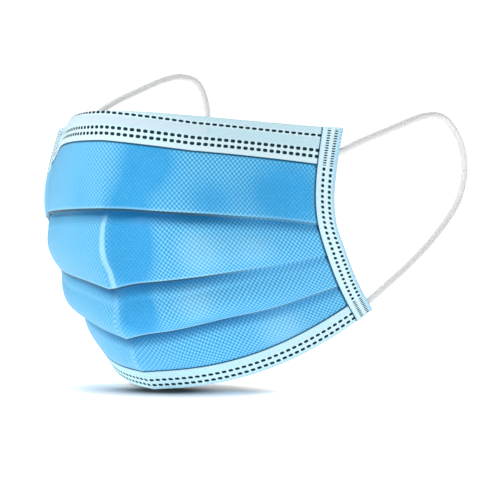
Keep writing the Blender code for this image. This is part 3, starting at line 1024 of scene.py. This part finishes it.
def blue_cloth(lattice):
    """The blue outer ply: lattice and paler fibres; painted shade in the hollows and under the folds,
    painted light on the swellings, painted highlights on the rims of the folds and the crest of the crease,
    and a painted shadow line at each fold's edge; the dark lines at its edges are partly weld lines, partly
    painted shade.
    """
    material, graph, shader = new_material("blue_spunbond_cloth")
    cloth = graph.attribute("cloth_mm")
    across, _, level = graph.split(cloth)
    fabric = graph.group(lattice, Cloth=cloth, Pitch=BLUE_PITCH)
    edge, above_fold, under_fold = graph.split(graph.attribute("edge_mm"))
    crease, strength, hollow = graph.split(graph.attribute("crease_mm"))
    off_middle = graph.math("SUBTRACT", fabric["Bonds"], MIDDLE_BOND)
    bonds = graph.math("MULTIPLY_ADD", off_middle, graph.ramp(across, *NET_ACROSS), MIDDLE_BOND)
    body = graph.mix(bonds, SKY_BLUE, DEEP_BLUE)
    # Painted shade in the hollows and painted light on the swellings
    body = graph.mix(graph.ramp(hollow, *HOLLOW_PAINTED_SHADE), body, DEEP_BLUE)
    body = graph.mix(graph.ramp(hollow, *SWELLING_PAINTED_LIGHT), body, PALE_FIBRE_AND_HIGHLIGHT_BLUE)
    body = graph.mix(graph.ramp(fabric["Fibres"], *FIBRE_PALE), body, PALE_FIBRE_AND_HIGHLIGHT_BLUE)
    # Painted highlight along the crest of the crease
    beside = graph.math("MULTIPLY", graph.ramp(crease, *CREST_HIGHLIGHT_NEAR), graph.ramp(crease, *CREST_HIGHLIGHT_FAR))
    from_level = graph.ramp(level, *CREST_HIGHLIGHT_FROM_LEVEL)
    between = graph.math("MULTIPLY", from_level, graph.ramp(level, *CREST_HIGHLIGHT_TO_LEVEL))
    crest_highlight = graph.math("MULTIPLY", beside, between)
    body = graph.mix(graph.math("MULTIPLY", crest_highlight, CREST_HIGHLIGHT_SHARE), body, PALE_FIBRE_AND_HIGHLIGHT_BLUE)
    # Painted shade under the folds
    near_side = graph.math("MULTIPLY", graph.ramp(across, *SHADE_ACROSS), strength)
    body = graph.mix(graph.math("MULTIPLY", graph.ramp(under_fold, *FOLD_SHADE), near_side), body, FOLD_SHADOW_BLUE)
    # Painted highlight on each fold's rim, then a painted shadow line at its edge
    body = graph.mix(graph.math("MULTIPLY", graph.ramp(above_fold, *FOLD_RIM_HIGHLIGHT), strength), body, PALE_FIBRE_AND_HIGHLIGHT_BLUE)
    body = graph.mix(graph.math("MULTIPLY", graph.ramp(above_fold, *FOLD_LIP_SHADOW), strength), body, FOLD_LINE_SHADOW_TEAL)
    # Dark lines at the edges: partly weld lines, partly painted shade
    body = graph.mix(graph.ramp(edge, *EDGE_WELD_AND_SHADOW), body, WELD_AND_SHADOW_TEAL)
    graph.feed(shader.inputs["Base Color"], body)
    smoother = graph.math("MULTIPLY", fabric["Bonds"], 0.12)
    graph.feed(shader.inputs["Roughness"], graph.math("SUBTRACT", 0.56, smoother))
    shader.inputs["Specular IOR Level"].default_value = 0.25
    shader.inputs["Sheen Weight"].default_value = 0.05
    shader.inputs["Sheen Roughness"].default_value = 0.5
    add_bump(graph, shader, fabric["Height"], 0.6, 0.15 * MM)
    return material


def strip_cloth(name, lattice, weld, rows, white=STRIP_WHITE, cyan=STRIP_CYAN):
    """A white folded strip with rows of welds; the blue cloth under it shows through in bands."""
    material, graph, shader = new_material(name)
    cloth = graph.attribute("cloth_mm")
    tint, wire, from_end = graph.split(graph.attribute("marks"))
    fabric = graph.group(lattice, Cloth=cloth, Pitch=STRIP_PITCH)
    show = graph.math("MULTIPLY", tint, graph.ramp(fabric["Bonds"], *STRIP_NET))
    show = graph.math("ADD", show, graph.math("MULTIPLY", fabric["Bonds"], 0.36))
    show = graph.math("MULTIPLY", show, graph.math("SUBTRACT", 1.0, wire))
    body = graph.mix(show, white, cyan)
    body = graph.mix(wire, body, WIRE_WHITE)
    mask = None
    for at, size, start, end in rows:
        row = graph.group(
            weld,
            Cloth=cloth,
            Pitch=size["pitch"] / MM,
            Row=at / MM,
            Length=size["length"] / MM,
            Width=size["width"] / MM,
            Start=start / MM,
            End=end / MM,
        )["Mask"]
        mask = row if mask is None else graph.math("MAXIMUM", mask, row)
    # Dark line at the strip's ends: partly a weld line, partly painted shade
    body = graph.mix(graph.ramp(from_end, *END_WELD_AND_SHADOW), body, WELD_AND_SHADOW_TEAL)
    body = graph.mix(mask, body, WELD_TEAL)
    graph.feed(shader.inputs["Base Color"], body)
    graph.feed(shader.inputs["Roughness"], graph.math("SUBTRACT", 0.75, graph.math("MULTIPLY", mask, 0.15)))
    shader.inputs["Specular IOR Level"].default_value = 0.12
    calm = graph.math("SUBTRACT", 1.0, graph.math("MULTIPLY", wire, 0.75))
    add_bump(graph, shader, graph.math("MULTIPLY", fabric["Height"], calm), 0.5, 0.10 * MM)
    return material


def inner_cloth(lattice):
    material, graph, shader = new_material("white_inner_cloth")
    fabric = graph.group(lattice, Cloth=graph.attribute("cloth_mm"), Pitch=INNER_PITCH)
    body = graph.mix(graph.math("MULTIPLY", fabric["Bonds"], 0.35), INNER_WHITE, INNER_BLUE)
    graph.feed(shader.inputs["Base Color"], body)
    shader.inputs["Roughness"].default_value = 0.8
    shader.inputs["Sheen Weight"].default_value = 0.2
    add_bump(graph, shader, fabric["Height"], 0.5, 0.10 * MM)
    return material


def elastic():
    material, graph, shader = new_material("white_knitted_elastic")
    along, round_way, _ = graph.split(graph.attribute("cloth_mm"))
    lengthwise = graph.math("MULTIPLY", along, KNIT_ALONG)
    roundwise = graph.math("MULTIPLY", round_way, KNIT_ROUND)
    ribs = [graph.math("SINE", graph.math(way, lengthwise, roundwise)) for way in ("ADD", "SUBTRACT")]
    knit = graph.math("MULTIPLY", *ribs)
    body = graph.mix(graph.ramp(knit, *KNIT_EDGE), ELASTIC_GREY, ELASTIC_WHITE)
    graph.feed(shader.inputs["Base Color"], body)
    shader.inputs["Roughness"].default_value = 0.85
    shader.inputs["Sheen Weight"].default_value = 0.4
    shader.inputs["Subsurface Weight"].default_value = 0.15
    shader.inputs["Subsurface Radius"].default_value = (0.002, 0.002, 0.002)
    add_bump(graph, shader, knit, 0.35, 0.12 * MM)
    return material


def wire_coat():
    material, graph, shader = new_material("coated_wire_plastic")
    x, y, _ = graph.split(graph.attribute("cloth_mm"))
    noise = graph.node("ShaderNodeTexNoise", {"noise_dimensions": "2D"}, Vector=graph.join(x, y), Scale=1.5)
    body = graph.mix(noise.outputs[0], COATED_WIRE, WIRE_GREY)
    graph.feed(shader.inputs["Base Color"], body)
    shader.inputs["Roughness"].default_value = 0.42
    return material


# Stage


def floor_material():
    """White, with a painted shadow round the mask's lowest edge that only the camera sees, and glowing
    further out, so that no horizon shows.
    """
    material, graph, shader = new_material("white_floor")
    place = graph.node("ShaderNodeTexCoord").outputs["Object"]
    x, y, _ = graph.split(place)
    oval = graph.join(graph.math("MULTIPLY", x, OVAL_ACROSS), y)
    length = graph.node("ShaderNodeVectorMath", {"operation": "LENGTH"})
    graph.feed(length.inputs[0], oval)
    away = length.outputs["Value"]
    glow = graph.ramp(away, *FLOOR_GLOW)
    # Painted shadow round the mask's lowest edge, seen only by the camera
    shadow_reach = graph.ramp(away, *FLOOR_SHADOW_REACH)
    seen = graph.node("ShaderNodeLightPath").outputs["Is Camera Ray"]
    painted_shadow = graph.math("MULTIPLY", shadow_reach, seen)
    body = graph.mix(glow, graph.mix(painted_shadow, FLOOR_WHITE, FLOOR_SHADE), FLOOR_GREY)
    graph.feed(shader.inputs["Base Color"], body)
    shader.inputs["Roughness"].default_value = 0.9
    shader.inputs["Specular IOR Level"].default_value = 0.1
    shader.inputs["Emission Color"].default_value = (1, 1, 1, 1)
    unseen = graph.math("MULTIPLY", graph.ramp(away, *FLOOR_BOUNCE), graph.math("SUBTRACT", 1.0, seen))
    graph.feed(shader.inputs["Emission Strength"], graph.math("MULTIPLY_ADD", glow, seen, unseen))
    return material


def make_floor(lowest):
    bpy.ops.mesh.primitive_circle_add(
        vertices=FLOOR_CORNERS,
        radius=FLOOR_RADIUS,
        fill_type="NGON",
        location=(*FLOOR_PLACE, lowest),
    )
    floor = bpy.context.object
    floor.name = "floor"
    floor.data.materials.append(floor_material())
    floor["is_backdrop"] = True


def make_camera():
    azimuth = math.radians(CAMERA_AZIMUTH)
    elevation = math.radians(CAMERA_ELEVATION)
    right = np.array((math.cos(azimuth), math.sin(azimuth), 0))
    level_way = np.array((-math.sin(azimuth), math.cos(azimuth), 0))
    forward = level_way * math.cos(elevation) - np.array((0, 0, math.sin(elevation)))
    above = np.cross(right, forward)
    camera = bpy.data.objects.new("camera", bpy.data.cameras.new("camera"))
    camera.data.lens = CAMERA_LENS
    camera.data.sensor_width = CAMERA_SENSOR
    camera.data.clip_end = CAMERA_FAR_END
    turned = Matrix((right, above, -forward)).transposed().to_4x4()
    turned.translation = CAMERA_PLACE
    camera.matrix_world = turned
    bpy.context.scene.collection.objects.link(camera)
    bpy.context.scene.camera = camera


def add_light(name, azimuth, elevation, distance, size, power):
    """A square soft light that looks at the mask. Azimuth 0 stands in front, at -Y, and +90 at +X."""
    turn = math.radians(azimuth)
    rise = math.radians(elevation)
    away = np.array((math.sin(turn) * math.cos(rise), -math.cos(turn) * math.cos(rise), math.sin(rise)))
    light = bpy.data.objects.new(name, bpy.data.lights.new(name, "AREA"))
    light.data.shape = "SQUARE"
    light.data.size = size
    light.data.energy = power
    side = np.cross((0, 0, 1), away)
    side = side / np.linalg.norm(side)
    turned = Matrix((side, np.cross(away, side), away)).transposed().to_4x4()
    turned.translation = np.array(LIGHT_TARGET) + away * distance
    light.matrix_world = turned
    bpy.context.scene.collection.objects.link(light)


def make_lights():
    for light in LIGHTS:
        add_light(*light)
    world = bpy.data.worlds.new("white_room")
    world.use_nodes = True
    graph = Graph(world.node_tree)
    background = world.node_tree.nodes["Background"]
    background.inputs["Color"].default_value = (1, 1, 1, 1)
    seen = graph.node("ShaderNodeLightPath").outputs["Is Camera Ray"]
    graph.feed(background.inputs["Strength"], graph.math("MULTIPLY_ADD", seen, ROOM_SEEN, ROOM_LIGHT))
    bpy.context.scene.world = world
    bpy.context.scene.view_settings.view_transform = "Standard"


# The whole scene


def open_rows(rows):
    """Rows of welds that run the whole length of a strip."""
    return [(at, weld, *WHOLE_STRIP) for at, weld in rows]


def main():
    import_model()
    make_camera()
    lattice, weld = lattice_group(), weld_group()
    side_length = Columns(np.array([1.0])).below_top[0, -1]
    make_plies(blue_cloth(lattice), inner_cloth(lattice))
    top_rows = open_rows(TOP_HEM_ROWS)
    top_colours = (TOP_STRIP_WHITE, TOP_STRIP_CYAN)
    top_material = strip_cloth("white_top_strip", lattice, weld, top_rows, *top_colours)
    low_rows = open_rows(LOW_HEM_ROWS)
    low_colours = (LOW_STRIP_WHITE, LOW_STRIP_CYAN)
    low_material = strip_cloth("white_bottom_strip", lattice, weld, low_rows, *low_colours)
    side_material = strip_cloth("white_side_strip", lattice, weld, binding_rows(side_length))
    make_hem("top_strip", "top_hem", 1, TOP_HEM_ROWS, top_material, TOP_TINT)
    make_hem("bottom_strip", "bottom_hem", -1, LOW_HEM_ROWS, low_material, LOW_TINT)
    make_binding("side_strip_left", "side_binding_left", 1, side_material)
    make_binding("side_strip_right", "side_binding_right", -1, side_material)
    make_nose_wire(wire_coat())
    cord_material = elastic()
    make_ear_loop("ear_cord_left", "ear_loop_left", LOOP_LEFT_ROUTE, 1, cord_material)
    make_ear_loop("ear_cord_right", "ear_loop_right", LOOP_RIGHT_ROUTE, -1, cord_material)
    make_floor(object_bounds()[0][2] - FLOOR_GAP)
    make_lights()


main()
